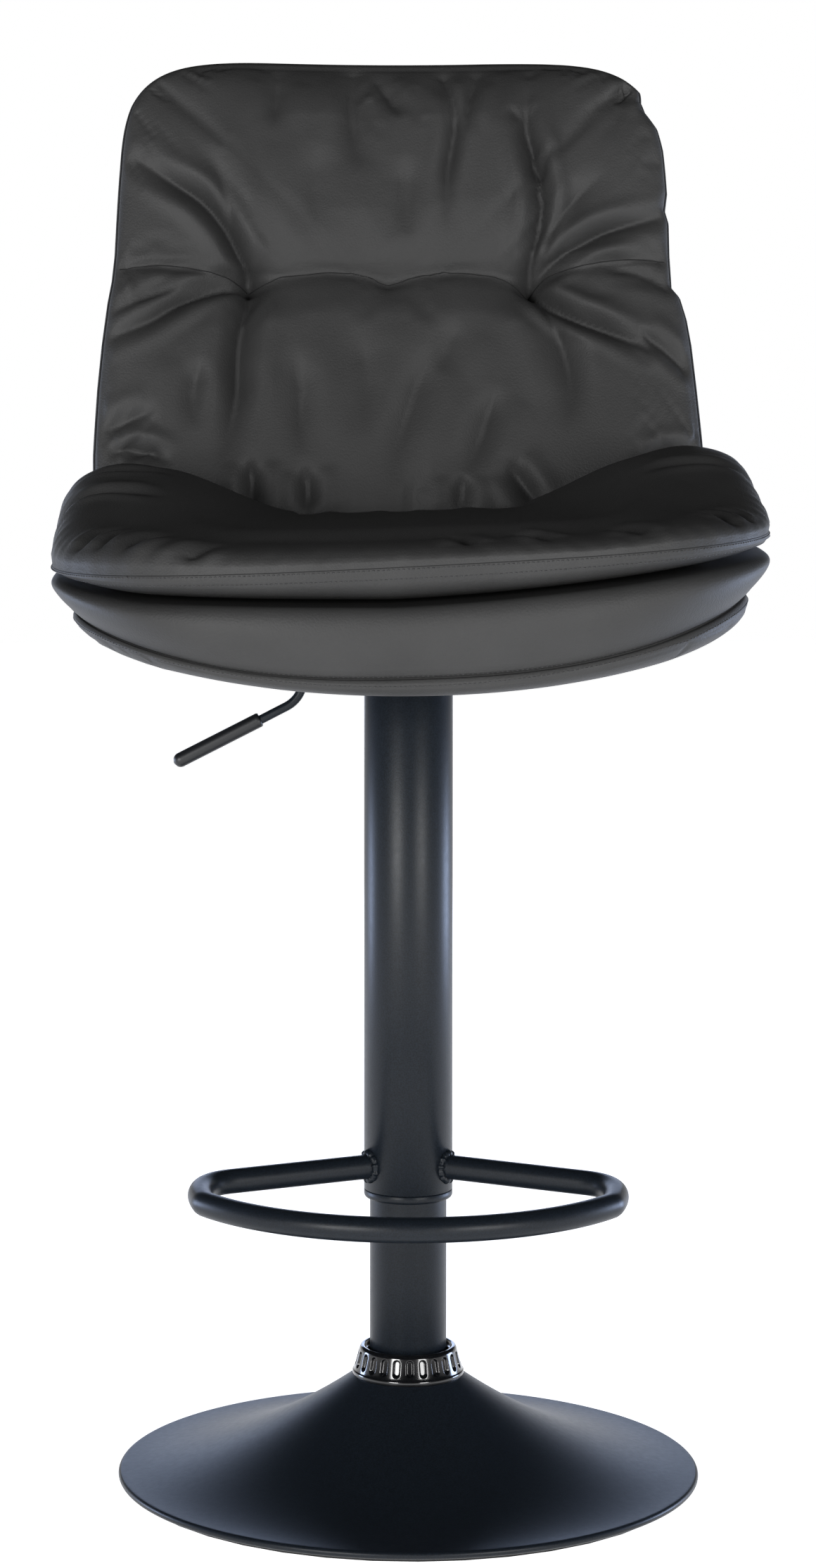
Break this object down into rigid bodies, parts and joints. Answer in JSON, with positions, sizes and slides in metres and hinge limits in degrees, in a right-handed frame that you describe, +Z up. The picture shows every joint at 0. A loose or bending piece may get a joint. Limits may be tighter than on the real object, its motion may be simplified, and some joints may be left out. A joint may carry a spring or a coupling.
{
  "type": "bar stool with footrest",
  "caption": "Swivelling gas-lift bar stool with a padded seat and back, a side lever, a welded footrest loop and a round trumpet base.",
  "frame": {"origin": "on the floor, where the column's axis meets the underside of the floor pad", "axes": "+Z up along the column, -Y the way the sitter faces, +X to the sitter's left"},
  "size_m": [0.5, 0.5409, 1.0081],
  "materials": {
    "powder_coat": "satin black powder coat with a fine texture",
    "zinc_steel": "bright zinc plate",
    "cast_weight": "rough cast",
    "floor_rubber": "matt",
    "gloss_plastic": "polished black moulding",
    "nylon": "natural nylon",
    "grip_plastic": "satin black moulding",
    "plywood": "raw birch plywood",
    "dust_cloth": "black non-woven cloth",
    "leather": "black grained leatherette"
  },
  "bodies": {
    "base": {"base_shell": "powder_coat", "collar_ring": "gloss_plastic", "floor_pad": "floor_rubber", "bottom_plate": "zinc_steel", "base_weight": "cast_weight", "stand_tube": "powder_coat", "tube_flange": "zinc_steel", "base_bolt_1": "zinc_steel", "base_bolt_2": "zinc_steel", "base_bolt_3": "zinc_steel", "base_bolt_4": "zinc_steel", "bearing_seat": "zinc_steel", "guide_bush": "nylon"},
    "rod": {"piston_rod": "zinc_steel", "rod_clip": "zinc_steel", "thrust_bearing": "zinc_steel", "bump_stop": "floor_rubber", "gas_piston": "nylon"},
    "seat": {"gas_cylinder": "zinc_steel", "cone_socket": "zinc_steel", "tube_top_ring": "zinc_steel", "cover_tube": "powder_coat", "tube_lip": "powder_coat", "footrest": "powder_coat", "weld_bead_right": "powder_coat", "weld_bead_left": "powder_coat", "seat_plate": "powder_coat", "lever_bracket": "zinc_steel", "dust_cover": "dust_cloth", "seat_board": "plywood", "seat_lower_pad": "leather", "seat_cushion": "leather", "seat_bolt_1": "zinc_steel", "seat_bolt_2": "zinc_steel", "seat_bolt_3": "zinc_steel", "seat_bolt_4": "zinc_steel", "stay_bolt_left_1": "zinc_steel", "stay_bolt_left_2": "zinc_steel", "stay_bolt_right_1": "zinc_steel", "stay_bolt_right_2": "zinc_steel", "back_stay_left": "powder_coat", "back_stay_right": "powder_coat", "back_cushion": "leather", "back_panel": "plywood", "back_shell": "leather"},
    "lever": {"lever_rod": "powder_coat", "lever_grip": "grip_plastic"},
    "valve": {"valve_pin": "zinc_steel"}
  },
  "joints": [
    {"name": "seat_swivel", "type": "hinge", "parent": "base", "child": "rod", "pos_m": [0, 0, 0.018], "axis": [0, 0, 1], "continuous": true},
    {"name": "gas_lift", "type": "slide", "parent": "rod", "child": "seat", "axis": [0, 0, 1], "range_m": [-0.1, 0.11]},
    {"name": "lever_tilt", "type": "hinge", "parent": "seat", "child": "lever", "pos_m": [-0.042, 0, 0.5752], "axis": [0, 1, 0], "range_deg": [0, 4], "stiffness_Nm_per_rad": 8, "springref_deg": -2.86},
    {"name": "valve_press", "type": "slide", "parent": "seat", "child": "valve", "axis": [0, 0, -1], "range_m": [0, 0.003], "stiffness_N_per_m": 300}
  ],
  "couplings": [
    {"joint": "valve_press", "follows": "lever_tilt", "m_per_rad": 0.042}
  ]
}
